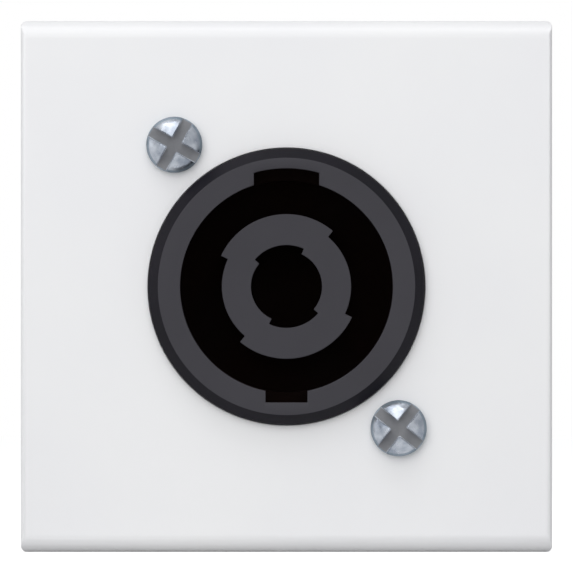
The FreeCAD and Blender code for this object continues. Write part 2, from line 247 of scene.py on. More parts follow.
silverPlate = platedMetal("silver plate", {
    "colour": fromScreen(226, 224, 216),
    "darker": fromScreen(205, 201, 190),
    "cloudScale": 600.0,
    "waveScale": 500.0,
    "waveDepth": 0.01 * mm,
    "grainScale": 1200.0,
    "grainStretch": (1, 8, 1),
    "smooth": 0.18,
    "rough": 0.3,
    "bump": 0.08,
    "bumpDepth": 0.01 * mm,
})
print("materials ready")


# Modelling helpers: every piece ends at the origin, unturned and unscaled

def only(thing):
    bpy.ops.object.select_all(action="DESELECT")
    thing.select_set(True)
    bpy.context.view_layer.objects.active = thing


def settle(thing):
    only(thing)
    bpy.ops.object.transform_apply(location=True, rotation=True, scale=True)
    return thing


def turnTo(thing, bearing):
    # bearings are degrees about the plug's axis, from +X towards +Z
    thing.rotation_euler = (0, -math.radians(bearing), 0)
    return settle(thing)


def shiftTo(thing, x, y, z):
    thing.location = (x, y, z)
    return settle(thing)


def layOutward(thing, depth):
    # lays something made along the plug's axis down, to point outward at bearing 0
    thing.rotation_euler = (0, 0, -math.radians(90))
    settle(thing)
    return shiftTo(thing, 0, depth, 0)


def copyOf(thing, name):
    twin = thing.copy()
    twin.data = thing.data.copy()
    twin.name = name
    bpy.context.scene.collection.objects.link(twin)
    return twin


def openEdit(thing, kind="VERT", choice="SELECT"):
    only(thing)
    bpy.ops.object.mode_set(mode="EDIT")
    bpy.ops.mesh.select_mode(type=kind)
    bpy.ops.mesh.select_all(action=choice)


def leaveEdit():
    bpy.ops.object.mode_set(mode="OBJECT")


def tidyFaces(thing):
    openEdit(thing)
    bpy.ops.mesh.remove_doubles(threshold=0.0005 * mm)
    bpy.ops.mesh.normals_make_consistent(inside=False)
    leaveEdit()
    return thing


def sliceOff(thing, point, normal):
    # cuts flat through a thing and takes away what lies on the normal's side
    openEdit(thing)
    bpy.ops.mesh.bisect(
        plane_co=point,
        plane_no=Vector(normal).normalized(),
        use_fill=True,
        clear_outer=True,
        threshold=0.00001 * mm,
    )
    leaveEdit()
    return tidyFaces(thing)


def blockOf(name, xFrom, xTo, yFrom, yTo, zFrom, zTo):
    middle = ((xFrom + xTo) / 2, (yFrom + yTo) / 2, (zFrom + zTo) / 2)
    bpy.ops.mesh.primitive_cube_add(size=1, location=middle)
    thing = bpy.context.object
    thing.name = name
    thing.scale = (xTo - xFrom, yTo - yFrom, zTo - zFrom)
    return settle(thing)


def centredBlock(name, width, height, front, back):
    return blockOf(name, -width / 2, width / 2, front, back, -height / 2, height / 2)


def bevelAlong(thing, axis, radius, segments, wanted=lambda middle: True):
    # rounds the straight edges that run along one axis
    openEdit(thing, "EDGE", "DESELECT")
    cage = bmesh.from_edit_mesh(thing.data)
    for edge in cage.edges:
        start, end = edge.verts[0].co, edge.verts[1].co
        along = abs((end - start)[axis]) > 0.999 * edge.calc_length()
        edge.select = along and wanted((start + end) / 2)
    cage.select_flush_mode()
    bmesh.update_edit_mesh(thing.data)
    bpy.ops.mesh.bevel(offset=radius, segments=segments, profile=0.5, affect="EDGES")
    leaveEdit()
    return thing


def roundedBlock(name, width, height, radius, front, back, segments=8):
    return bevelAlong(centredBlock(name, width, height, front, back), 1, radius, segments)


def turned(name, rings, sides=144):
    # a lathe outline of (radius, depth) rings: if it ends where it began, the middle stays open
    radius, depth = rings[0]
    closes = rings[-1] == rings[0]
    bpy.ops.mesh.primitive_circle_add(
        vertices=sides,
        radius=radius,
        fill_type="NOTHING" if closes else "NGON",
        location=(0, depth, 0),
        rotation=(math.radians(90), 0, 0),
    )
    thing = bpy.context.object
    thing.name = name
    settle(thing)
    openEdit(thing)
    for nextRadius, nextDepth in rings[1:]:
        step = {"value": (0, nextDepth - depth, 0)}
        if closes:
            bpy.ops.mesh.extrude_edges_move(TRANSFORM_OT_translate=step)
        else:
            bpy.ops.mesh.extrude_region_move(TRANSFORM_OT_translate=step)
        grow = nextRadius / radius
        bpy.ops.transform.resize(value=(grow, 1, grow), center_override=(0, nextDepth, 0))
        radius, depth = nextRadius, nextDepth
    leaveEdit()
    return tidyFaces(thing)


def sectorOf(name, inner, outer, bearing, span, front, back):
    # part of a ring with its middle at a bearing, spun from one flat face
    bpy.ops.mesh.primitive_plane_add(size=1, location=((inner + outer) / 2, (front + back) / 2, 0))
    thing = bpy.context.object
    thing.name = name
    thing.scale = (outer - inner, back - front, 1)
    settle(thing)
    openEdit(thing)
    steps = max(2, round(span / 2.5))
    bpy.ops.mesh.spin(steps=steps, angle=math.radians(span), center=(0, 0, 0), axis=(0, 1, 0))
    leaveEdit()
    tidyFaces(thing)
    return turnTo(thing, bearing - span / 2)


def threadedRod(name, radius, pitch, threadDepth, front, back, stepsPerTurn=24):
    # one zigzag of the thread's outline is wound up the axis, then both ends are cut flat
    bpy.ops.mesh.primitive_plane_add(size=radius)
    thing = bpy.context.object
    thing.name = name
    openEdit(thing)
    bpy.ops.mesh.merge(type="CENTER")
    bpy.ops.transform.translate(value=(radius - threadDepth, front - 1.5 * pitch, 0))
    crest = pitch / 8
    flank = (pitch - crest) / 2
    for across, along in ((threadDepth, flank), (0, crest), (-threadDepth, flank)):
        step = {"value": (across, along, 0)}
        bpy.ops.mesh.extrude_region_move(TRANSFORM_OT_translate=step)
    leaveEdit()
    wind = thing.modifiers.new("wind", "SCREW")
    wind.axis = "Y"
    wind.angle = math.tau
    wind.screw_offset = pitch
    wind.iterations = math.ceil((back - front) / pitch) + 3
    wind.steps = stepsPerTurn
    wind.render_steps = stepsPerTurn
    wind.use_merge_vertices = True
    wind.merge_threshold = 0.0005 * mm
    only(thing)
    bpy.ops.object.modifier_apply(modifier=wind.name)
    tidyFaces(thing)
    sliceOff(thing, (0, front, 0), (0, -1, 0))
    return sliceOff(thing, (0, back, 0), (0, 1, 0))


def join(thing, tool, how):
    change = thing.modifiers.new("join", "BOOLEAN")
    change.operation = how
    change.solver = "EXACT"
    change.object = tool
    only(thing)
    bpy.ops.object.modifier_apply(modifier=change.name)
    bpy.data.objects.remove(tool)
    return thing


def cut(thing, *tools):
    for tool in tools:
        join(thing, tool, "DIFFERENCE")
    return thing


def add(thing, *tools):
    for tool in tools:
        join(thing, tool, "UNION")
    return thing


def keepInside(thing, *tools):
    for tool in tools:
        join(thing, tool, "INTERSECT")
    return thing


def softenEdges(thing, width, angle=30, wanted=lambda middle: True):
    # small rounds on the edges that are sharper than an angle
    tidyFaces(thing)
    openEdit(thing, "EDGE", "DESELECT")
    bpy.ops.mesh.edges_select_sharp(sharpness=math.radians(angle))
    leaveEdit()
    mesh = thing.data
    weights = mesh.attributes.new("bevel_weight_edge", "FLOAT", "EDGE")
    for edge in mesh.edges:
        start, end = (mesh.vertices[index].co for index in edge.vertices)
        weights.data[edge.index].value = 1.0 if edge.select and wanted((start + end) / 2) else 0.0
    bevel = thing.modifiers.new("soft edges", "BEVEL")
    bevel.width = width
    bevel.segments = 2
    bevel.limit_method = "WEIGHT"
    bevel.miter_outer = "MITER_ARC"
    bevel.use_clamp_overlap = False
    only(thing)
    bpy.ops.object.modifier_apply(modifier=bevel.name)
    mesh.attributes.remove(mesh.attributes["bevel_weight_edge"])
    return thing


def finishPiece(thing, node, slot, *materials, smoothTo=50):
    for material in materials:
        thing.data.materials.append(material)
    only(thing)
    bpy.ops.object.shade_smooth_by_angle(angle=math.radians(smoothTo))
    even = thing.modifiers.new("even shading", "WEIGHTED_NORMAL")
    even.keep_sharp = True
    bpy.ops.object.modifier_apply(modifier=even.name)
    bpy.ops.object.select_all(action="DESELECT")
    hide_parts(node)
    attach(thing, "root")
    return thing


def paintWhere(thing, index, wanted):
    # gives another of the piece's materials to the faces that pass the test
    for face in thing.data.polygons:
        if wanted(face.center, face.normal):
            face.material_index = index


# Sizes that several pieces share, as the frame has them

plateFront = 1.5 * mm
plateBack = 3.9 * mm
flangeBack = 6.1 * mm
plugDepth = 17.0 * mm
sleeveEnd = 20.0 * mm
flangeSize = (26.0 * mm, 31.0 * mm, 3.5 * mm)    # width, height, corner radius
fixingPlace = (-9.5 * mm, 12.0 * mm)    # the upper screw, the lower one is opposite
fixingBearing = 128.37
screwHole = 1.45 * mm
threadGap = 0.02 * mm
past = 1.0 * mm    # how far a cutting shape stands out of what it cuts
near = 0.1 * mm    # how close to a depth or radius a face or edge counts as lying on it
poleBearings = {"1_plus": 102.5, "2_minus": 192.5, "1_minus": 282.5, "2_plus": 12.5}
screwSides = (("upper", 1), ("lower", -1))


def atFixing(thing, depth, side):
    return shiftTo(thing, side * fixingPlace[0], depth, side * fixingPlace[1])


def fixingHole(side, front, back):
    return atFixing(turned("hole", [(screwHole, front), (screwHole, back)], 48), 0, side)


# Front plate: the white moulding, its skirt, clips and ribs

plate = {
    "size": 45.0 * mm,
    "seat": 8.1 * mm,
    "longEdge": 1.5 * mm,
    "sideEdge": 0.5 * mm,
    "corner": 0.5 * mm,
    "skirt": 43.4 * mm,
    "skirtWall": 1.5 * mm,
    "skirtEnd": 17.1 * mm,
    "collarHole": 11.75 * mm,
    "frameRib": 2.4 * mm,
    "clipSpacing": 22.5 * mm,
    "clipWidth": 7.0 * mm,
    "clipLength": 4.6 * mm,
    "clipSlot": 1.0 * mm,
    "lugTop": 22.4 * mm,
    "lugLand": 0.6 * mm,
    "ribThickness": 1.2 * mm,
    "ribHeight": 3.0 * mm,
    "ribSpacing": (15.0 * mm, 17.0 * mm),
    "locatingWall": 1.2 * mm,
    "locatingHeight": 1.7 * mm,
    "locatingGap": 0.15 * mm,
    "pinMark": (1.2 * mm, 0.05 * mm),    # radius and depth of the ejector pins' marks
    "pinPlaces": (17.3 * mm, 13.5 * mm),
    "softEdge": 0.07 * mm,
}


def plateFace():
    look = plate

    def atFront(middle):
        return middle.y < plateFront + 0.01 * mm

    shapes = []
    for axis, radius, wanted in (
        (0, look["longEdge"], atFront),
        (2, look["sideEdge"], atFront),
        (1, look["corner"], lambda middle: True),
    ):
        shape = centredBlock("plate face", look["size"], look["size"], plateFront, look["seat"])
        shapes.append(bevelAlong(shape, axis, radius, 10, wanted))
    return keepInside(*shapes)


def plateRibs():
    look = plate
    cavity = look["skirt"] - 2 * look["skirtWall"]
    length = cavity + look["skirtWall"]
    front, back = plateBack - past, plateBack + look["ribHeight"]
    ribs = []
    for side in (-1, 1):
        across = centredBlock("rib", length, look["ribThickness"], front, back)
        upright = centredBlock("rib", look["ribThickness"], length, front, back)
        ribs.append(shiftTo(across, 0, 0, side * look["ribSpacing"][1] / 2))
        ribs.append(shiftTo(upright, side * look["ribSpacing"][0] / 2, 0, 0))
    width, height, corner = flangeSize
    grow = look["locatingGap"] + look["locatingWall"]
    back = plateBack + look["locatingHeight"]
    wall = roundedBlock("wall", width + 2 * grow, height + 2 * grow, corner + grow, front, back)
    return ribs + [wall]


def clipSlot():
    look = plate
    half, slot = look["clipWidth"] / 2, look["clipSlot"]
    tip = look["seat"] + look["frameRib"]
    root = tip + look["clipLength"]
    foot, top = look["skirt"] / 2 - look["skirtWall"] - past, look["skirt"] / 2 + past
    whole = blockOf("clip slot", -half - slot, half + slot, tip - slot, root, foot, top)
    return cut(whole, blockOf("clip", -half, half, tip, root + past, foot - past, top + past))


def clipLug():
    look = plate
    half = look["clipWidth"] / 2
    tip = look["seat"] + look["frameRib"]
    foot = (look["skirt"] - look["skirtWall"]) / 2
    lug = blockOf("lug", -half, half, tip, tip + look["clipLength"], foot, look["lugTop"])
    fall = look["lugTop"] - look["skirt"] / 2
    run = look["clipLength"] - look["lugLand"]
    return sliceOff(lug, (0, tip + look["lugLand"], look["lugTop"]), (0, fall, run))


def makePlate():
    look = plate
    piece = plateFace()
    piece.name = "wall_plate"
    side, end = look["skirt"], look["skirtEnd"]
    add(piece, roundedBlock("skirt", side, side, look["corner"], look["seat"] - past, end))
    cavity = side - 2 * look["skirtWall"]
    cut(piece, centredBlock("cavity", cavity, cavity, plateBack, end + past))
    add(piece, *plateRibs())
    width, height, corner = flangeSize
    gap = look["locatingGap"]
    pocket = (width + 2 * gap, height + 2 * gap, corner + gap, plateBack, end + past)
    cut(piece, roundedBlock("pocket", *pocket))
    hole = look["collarHole"]
    cut(piece, turned("collar hole", [(hole, 0), (hole, plateBack + past)]))
    for _, side in screwSides:
        cut(piece, fixingHole(side, 0, plateBack + past))
        for turn in (0, 180):
            x = side * look["clipSpacing"] / 2
            cut(piece, turnTo(shiftTo(clipSlot(), x, 0, 0), turn))
            add(piece, turnTo(shiftTo(clipLug(), x, 0, 0), turn))
    markRadius, markDepth = look["pinMark"]
    for x in (-1, 1):
        for z in (-1, 0, 1):
            outline = [(markRadius, plateBack - markDepth), (markRadius, plateBack + past)]
            mark = turned("pin mark", outline, 32)
            cut(piece, shiftTo(mark, x * look["pinPlaces"][0], 0, z * look["pinPlaces"][1]))
    softenEdges(piece, look["softEdge"], 40)
    finishPiece(piece, "front_plate", "white_plastic", whitePlate)
    print("plate ready")


# Connector housing: collar, flange and sleeve

housing = {
    "bore": 9.0 * mm,
    "collar": 11.7 * mm,
    "rimBevelWidth": 0.8 * mm,
    "rimBevelDepth": 0.8 * mm,
    "shadedBevelFrom": 10.8 * mm,    # painted shade: from this radius out, the rim's bevel and the collar's side are not grained and get a darker black
    "seat": 10.4 * mm,
    "seatStep": 16.8 * mm,
    "wideKey": (5.52 * mm, 10.0 * mm),    # width, and how far out from the axis
    "narrowKey": (3.54 * mm, 9.81 * mm),
    "keyLength": 10.0 * mm,
    "grooveWidth": 4.0 * mm,
    "lockTurn": 45,
    "intoKeyway": 1.0,    # degrees of overlap between a lock groove and its keyway
    "grooveEase": 0.004 * mm,    # keeps the groove's outside off the keyway's
    "windowBearing": 57.5,
    "windowWidth": 4.4 * mm,
    "windowDepths": (17.1 * mm, 19.0 * mm),
    "gussetThickness": 1.4 * mm,
    "gussetReach": 2.6 * mm,
    "gussetLength": 5.0 * mm,
    "wallOverlap": 0.6 * mm,    # how far flange and gussets reach into the sleeve's wall
    "softEdge": 0.07 * mm,
}


def gussets():
    look = housing
    root = look["collar"] - look["wallOverlap"]
    outer = look["collar"] + look["gussetReach"]
    half = look["gussetThickness"] / 2
    found = []
    for turn in (0, 180):
        end = flangeBack + look["gussetLength"]
        gusset = blockOf("gusset", root, outer, flangeBack - past, end, -half, half)
        sliceOff(gusset, (outer, flangeBack, 0), (look["gussetLength"], look["gussetReach"], 0))
        found.append(turnTo(gusset, 180 - fixingBearing + turn))
    return found


def keyways():
    look = housing
    end = look["keyLength"]
    found = []
    keys = ((90, look["wideKey"], True), (270, look["narrowKey"], False))
    for bearing, (width, reach), isRound in keys:
        key = blockOf("key", 0, reach + (past if isRound else 0), -past, end, -width / 2, width / 2)
        if isRound:
            keepInside(key, turned("round", [(reach, -2 * past), (reach, end + past)]))
        halfWidth = math.degrees(math.asin(width / 2 / reach))
        first = bearing - halfWidth + look["intoKeyway"]
        last = bearing - halfWidth - look["lockTurn"]
        turnedReach = reach - look["grooveEase"]
        groove = (look["bore"] / 2, turnedReach, (first + last) / 2, first - last)
        found.append(turnTo(key, bearing))
        found.append(sectorOf("groove", *groove, end - look["grooveWidth"], end))
    return found


def makeHousing():
    look = housing
    collar, seat, bore = look["collar"], look["seat"], look["bore"]
    piece = turned("socket_housing", [
        (bore, 0),
        (collar - look["rimBevelWidth"], 0),
        (collar, look["rimBevelDepth"]),
        (collar, sleeveEnd),
        (seat, sleeveEnd),
        (seat, look["seatStep"]),
        (bore, look["seatStep"]),
        (bore, 0),
    ])
    flange = roundedBlock("flange", *flangeSize, plateBack, flangeBack)
    root = collar - look["wallOverlap"]
    cut(flange, turned("eye", [(root, plateFront), (root, flangeBack + past)]))
    add(piece, flange, *gussets())
    cut(piece, *keyways())
    half = look["windowWidth"] / 2
    for _, side in screwSides:
        cut(piece, fixingHole(side, plateFront, flangeBack + past))
        window = blockOf("window", bore, collar + past, *look["windowDepths"], -half, half)
        cut(piece, turnTo(window, look["windowBearing"] + 90 * (side + 1)))

    def inReach(middle):
        # the rim, the flange and the sleeve's end: not the keyways, gussets and windows
        inBore = math.hypot(middle.x, middle.z) < look["seat"] - near and middle.y > near
        return not inBore and not flangeBack + near / 2 < middle.y < look["windowDepths"][1] + near

    softenEdges(piece, look["softEdge"], 28, inReach)
    finishPiece(piece, "connector_housing", "housing_plastic", grainedBlack, shadedSmoothBlack, boreShadeBlack)

    def onRimBevel(middle, normal):
        radius = math.hypot(middle.x, middle.z)
        return radius > look["shadedBevelFrom"] and middle.y < plateBack - near and normal.y > -0.95

    def insideBore(middle, normal):
        radius = math.hypot(middle.x, middle.z)
        onFlange = min(abs(middle.y - plateBack), abs(middle.y - flangeBack)) < near / 2
        return radius < look["shadedBevelFrom"] and near < middle.y < look["seatStep"] and not onFlange

    # painted shade: the darker smooth black on the rim's bevel and the collar's side stands for the
    # shade on these sideways faces
    paintWhere(piece, 1, onRimBevel)
    # painted shade: the bore's walls, keyways and floors get the near-black, standing for the shade
    # deep in the socket
    paintWhere(piece, 2, insideBore)
    print("housing ready")


# Contacts: four stamped strips, two flush with the tube's outside and two flush with its bore

contact = {
    "sheet": 0.8 * mm,
    "outerBlade": (5.3 * mm, 6.1 * mm, 36),    # inside and outside radius, degrees wide
    "innerBlade": (3.03 * mm, 3.83 * mm, 64),
    "outerPoles": ("1_plus", "1_minus"),
    "front": 3.5 * mm,
    "tailFoot": 5.161 * mm,
    "tailWidth": 3.4 * mm,
    "tailEnd": 27.7 * mm,
    "shoulderWidth": 4.8 * mm,
    "shoulderFront": 20.3 * mm,
    "shoulderBack": 21.7 * mm,
    "softEdge": 0.05 * mm,
}


def bladeOf(pole):
    return contact["outerBlade" if pole in contact["outerPoles"] else "innerBlade"]


def makeContacts():
    look = contact
    tailFoot, tailTop = look["tailFoot"], look["tailFoot"] + look["sheet"]
    halfTail, halfShoulder = look["tailWidth"] / 2, look["shoulderWidth"] / 2
    front, back = look["shoulderFront"], look["shoulderBack"]
    webBack = front + look["sheet"]

    def clearOfWeb(middle):
        return not front - near < middle.y < back + near

    for pole, bearing in poleBearings.items():
        foot, top, span = bladeOf(pole)
        webFoot = min(foot + look["sheet"] / 4, tailFoot)
        piece = sectorOf("strip_" + pole, foot, top, 0, span, look["front"], webBack)
        add(
            piece,
            blockOf("web", webFoot, tailTop, front, webBack, -halfTail, halfTail),
            blockOf("shoulders", tailFoot, tailTop, front, back, -halfShoulder, halfShoulder),
            blockOf("tail", tailFoot, tailTop, front, look["tailEnd"], -halfTail, halfTail),
        )
        softenEdges(piece, look["softEdge"], 30, clearOfWeb)
        turnTo(piece, bearing)
        finishPiece(piece, "contact_" + pole, "contact_metal", silverPlate)
    print("contacts ready")


# Screw terminals: brass cages with a clamp screw each

terminal = {
    "width": 5.4 * mm,
    "foot": 4.311 * mm,
    "top": 10.061 * mm,
    "front": 21.8 * mm,
    "back": 28.2 * mm,
    "edge": 0.3 * mm,
    "wall": 0.8 * mm,
    "windowFoot": 5.111 * mm,
    "windowTop": 8.361 * mm,
    "screwRadius": 1.5 * mm,
    "screwPitch": 0.5 * mm,
    "threadDepth": 0.27 * mm,
    "screwFrom": 7.311 * mm,
    "screwTo": 11.311 * mm,
    "screwBevel": 0.25 * mm,
    "slotWidth": 0.6 * mm,
    "slotDepth": 0.9 * mm,
    "softEdge": 0.05 * mm,
}
clampDepth = (terminal["front"] + terminal["back"]) / 2


def clampScrew():
    look = terminal
    radius, bevel = look["screwRadius"], look["screwBevel"]
    start, end = look["screwFrom"], look["screwTo"]
    screw = threadedRod("clamp", radius, look["screwPitch"], look["threadDepth"], start, end)
    wide = radius + bevel
    outline = [(wide, start - past), (wide, end - 2 * bevel), (radius - bevel, end)]
    keepInside(screw, turned("outline", outline, 96))
    half = look["slotWidth"] / 2
    slot = blockOf("slot", -half, half, end - look["slotDepth"], end + past, -2 * radius, 2 * radius)
    cut(screw, slot)
    screw.rotation_euler = (0, math.radians(90), 0)    # the slot lies along the plug's axis
    return layOutward(settle(screw), clampDepth)


def makeTerminals():
    look = terminal
    half = look["width"] / 2
    window = half - look["wall"]
    bore = look["screwRadius"] + threadGap
    cage = blockOf("cage", look["foot"], look["top"], look["front"], look["back"], -half, half)
    bevelAlong(cage, 1, look["edge"], 4)
    ends = (look["front"] - past, look["back"] + past)
    cut(cage, blockOf("window", look["windowFoot"], look["windowTop"], *ends, -window, window))
    tapped = turned("tapped", [(bore, look["windowTop"] - past), (bore, look["top"] + past)], 64)
    cut(cage, layOutward(tapped, clampDepth))
    softenEdges(cage, look["softEdge"])
    screw = clampScrew()
    for pole, bearing in poleBearings.items():
        piece = turnTo(copyOf(cage, "wire_cage_" + pole), bearing)
        finishPiece(piece, "terminal_cage_" + pole, "cage_brass", cageBrass)
        piece = turnTo(copyOf(screw, "wire_screw_" + pole), bearing)
        finishPiece(piece, "clamp_screw_" + pole, "screw_steel", zincPlate, smoothTo=30)
    bpy.data.objects.remove(cage)
    bpy.data.objects.remove(screw)
    print("terminals ready")


# Contact carrier: stepped tube, neck and terminal body, with a cell for each contact

carrier = {
    "tube": 5.48 * mm,
    "raised": 6.13 * mm,
    "front": 0.5 * mm,
    "riseSpan": 105,
    "bore": 3.0 * mm,
    "boreFloor": 16.6 * mm,
    "boreStep": 3.5 * mm,
    "boreStepSpan": 74.5,
    "neck": 10.2 * mm,
    "body": 11.411 * mm,
    "bodyEnd": 30.5 * mm,
    "bodyBevel": 0.5 * mm,
    "noseBearing": 57.5,
    "noseDepths": (17.3 * mm, 18.8 * mm),
    "noseRise": 0.9 * mm,
    "noseWidth": 4.0 * mm,
    "slotGap": 0.04 * mm,
    "cageGap": 0.1 * mm,
    "screwAccess": 1.8 * mm,
    "softRearFrom": 4.15 * mm,    # edges nearer to the axis stay sharp at the rear
    "softSideFrom": 10.7 * mm,    # and nearer than this between the neck and the rear
    "softEdge": 0.06 * mm,
}


def carrierBody():
    look = carrier
    front, behind = look["front"], plugDepth + past
    raised, bore = look["raised"], look["boreStep"]
    piece = turned("terminal_carrier", [(raised, front), (raised, behind)])
    hollow = turned("hollow", [(bore, front - past), (bore, look["boreFloor"])])
    for turn in (90, 270):
        bearing = poleBearings["1_plus"] + turn
        lower = (look["tube"], raised + past, bearing, 180 - look["riseSpan"])
        cut(piece, sectorOf("lower", *lower, front - past, behind + past))
        narrow = (look["bore"], bore + past, bearing, 180 - look["boreStepSpan"])
        cut(hollow, sectorOf("narrow", *narrow, front - 2 * past, look["boreFloor"] + past))
    cut(piece, hollow)
    add(piece, turned("neck", [(look["neck"], plugDepth), (look["neck"], sleeveEnd + past)]))
    body, end, bevel = look["body"], look["bodyEnd"], look["bodyBevel"]
    add(piece, turned("body", [(body, sleeveEnd), (body, end - bevel), (body - bevel, end)]))
    half = look["noseWidth"] / 2
    neck, rise, depths = look["neck"], look["noseRise"], look["noseDepths"]
    for turn in (0, 180):
        nose = blockOf("nose", neck - past, neck + rise, *depths, -half, half)
        sliceOff(nose, (neck, depths[0], 0), (1, -1, 0))
        add(piece, turnTo(nose, look["noseBearing"] + turn))
    return piece


def cellFor(pole):
    look, strip, cage = carrier, contact, terminal
    gap, room = look["slotGap"], look["cageGap"]
    hair = 0.01 * mm    # keeps the faces of two cutting shapes apart
    bareBore = look["bore"] - 2 * hair
    foot, top, span = bladeOf(pole)
    wide = span + 2 * math.degrees(gap / foot)
    start, rear = strip["front"] - gap, look["bodyEnd"] + past
    isOuter = pole in strip["outerPoles"]
    slots = [sectorOf("slot", foot - gap if isOuter else foot, top + gap, 0, wide, start, rear)]
    if not isOuter:
        # the blade lies open to the bore as far as the bore's floor
        side = (bareBore, foot + gap, 0, wide + 0.2, start - hair, look["boreFloor"] + hair)
        slots.append(sectorOf("opening", *side))
    tailFoot, tailTop = strip["tailFoot"] - gap, strip["tailFoot"] + strip["sheet"] + gap
    webFoot = min(foot + strip["sheet"] / 4, strip["tailFoot"]) - gap - hair
    halfTail, halfShoulder = strip["tailWidth"] / 2 + gap, strip["shoulderWidth"] / 2 + gap
    halfCage = cage["width"] / 2 + room
    front = strip["shoulderFront"]
    web = blockOf("web", webFoot, tailTop - hair, front - hair, rear, -halfTail, halfTail)
    shoulders = blockOf("shoulders", tailFoot, tailTop, front, rear, -halfShoulder, halfShoulder)
    cageFoot, cageTop = cage["foot"] - room, cage["top"] + room
    cageRoom = (cageFoot, cageTop, strip["shoulderBack"], rear, -halfCage, halfCage)
    hole = look["screwAccess"]
    access = turned("access", [(hole, cage["top"] - past), (hole, look["body"] + past)], 64)
    tools = slots + [web, shoulders, blockOf("cage room", *cageRoom), layOutward(access, clampDepth)]
    return [turnTo(tool, poleBearings[pole]) for tool in tools]


def makeCarrier():
    look = carrier
    piece = carrierBody()
    for pole in poleBearings:
        cut(piece, *cellFor(pole))

    def inReach(middle):
        # the edges a hand can reach: the tube, the rear face's pockets and the body's outside
        radius = math.hypot(middle.x, middle.z)
        atRear = middle.y > look["bodyEnd"] - near and radius > look["softRearFrom"]
        return middle.y < plugDepth + near or atRear or radius > look["softSideFrom"]

    softenEdges(piece, look["softEdge"], 28, inReach)
    finishPiece(piece, "contact_carrier", "carrier_plastic", grainedBlack, boreShadeBlack)
    # painted shade: the tube and neck inside the sleeve get the near-black for the shade in the socket
    paintWhere(piece, 1, lambda middle, normal: look["front"] + near < middle.y < sleeveEnd)
    print("carrier ready")


# Fixing screws, and the washers and nuts behind the flange

fixingScrew = {
    "head": 4.75 * mm,
    "headHeight": 1.9 * mm,
    "rimHeight": 0.75 * mm,
    "paintedRimFrom": 2.16 * mm,    # painted reflection: outside this radius the head's edge gets a darker zinc for the dark surroundings it mirrors
    "domeRings": 10,
    "domeStart": 0.3 * mm,
    "slotWidth": 0.97 * mm,
    "slotDepth": 1.25 * mm,
    "radius": 1.25 * mm,
    "pitch": 0.45 * mm,
    "threadDepth": 0.24 * mm,
    "length": 8.0 * mm,
    "softEdge": 0.05 * mm,
    "recessBearing": {"upper": 60.5, "lower": 51.5},
}


def panHead():
    look = fixingScrew
    radius = look["head"] / 2
    rise = look["headHeight"] - look["rimHeight"]
    domeRadius = (radius ** 2 + rise ** 2) / (2 * rise)
    rings = []
    for step in range(look["domeRings"] + 1):
        out = look["domeStart"] + (radius - look["domeStart"]) * step / look["domeRings"]
        sink = domeRadius - math.sqrt(domeRadius ** 2 - out ** 2)
        rings.append((out, sink - look["headHeight"]))
    rings.append((radius, 0))
    head = turned("pan head", rings, 96)
    reach = look["head"]
    half = look["slotWidth"] / 2
    floor = look["slotDepth"] - look["headHeight"]
    for bearing in (0, 90):
        slot = blockOf("slot", -reach, reach, -reach, floor, -half, half)
        cut(head, turnTo(slot, bearing))
    return softenEdges(head, look["softEdge"], 25)


def makeFixingScrews():
    look = fixingScrew
    thread = (look["radius"], look["pitch"], look["threadDepth"])
    shank = threadedRod("shank", *thread, -look["rimHeight"] / 2, look["length"])
    screw = add(panHead(), shank)
    floor = look["slotDepth"] - look["headHeight"] + plateFront
    for name, side in screwSides:
        piece = copyOf(screw, "pan_screw_" + name)
        turnTo(piece, look["recessBearing"][name])
        atFixing(piece, plateFront, side)
        finishPiece(piece, "fixing_screw_" + name, "screw_steel", zincPlate, slotFloorShade, zincRimReflection)
        centre = Vector((side * fixingPlace[0], side * fixingPlace[1]))

        def onSlotFloor(middle, normal):
            return normal.y < -0.99 and abs(middle.y - floor) < near / 5

        def onRim(middle, normal):
            return (middle.xz - centre).length > look["paintedRimFrom"]

        # painted shade: the slot floors get the matte grey
        paintWhere(piece, 1, onSlotFloor)
        # painted reflection: the head's edge gets the darker zinc
        paintWhere(piece, 2, onRim)
    bpy.data.objects.remove(screw)
    print("fixing screws ready")


washerSize = {
    "radius": 2.55 * mm,
    "thickness": 0.6 * mm,
    "split": 0.5 * mm,
    "slant": 25,
    "softEdge": 0.05 * mm,
}
nutSize = {"acrossFlats": 5.0 * mm, "height": 2.0 * mm, "softEdge": 0.05 * mm}


def makeWashers():
    look = washerSize
    inner, outer, thick = fixingScrew["radius"] + threadGap, look["radius"], look["thickness"]
    ring = turned("washer", [(inner, 0), (outer, 0), (outer, thick), (inner, thick), (inner, 0)], 96)
    slit = blockOf("slit", 0, 2 * outer, -past, past, -look["split"] / 2, look["split"] / 2)
    slit.rotation_euler = (math.radians(look["slant"]), 0, 0)
    cut(ring, shiftTo(settle(slit), 0, thick / 2, 0))

    def clearOfSplit(middle):
        return middle.x < 0 or abs(middle.z) > 2 * look["split"]

    softenEdges(ring, look["softEdge"], 60, clearOfSplit)
    turnTo(ring, fixingBearing)
    for name, side in screwSides:
        piece = atFixing(copyOf(ring, "spring_washer_" + name), flangeBack, side)
        finishPiece(piece, "lock_washer_" + name, "washer_steel", zincPlate)
    bpy.data.objects.remove(ring)
    print("washers ready")


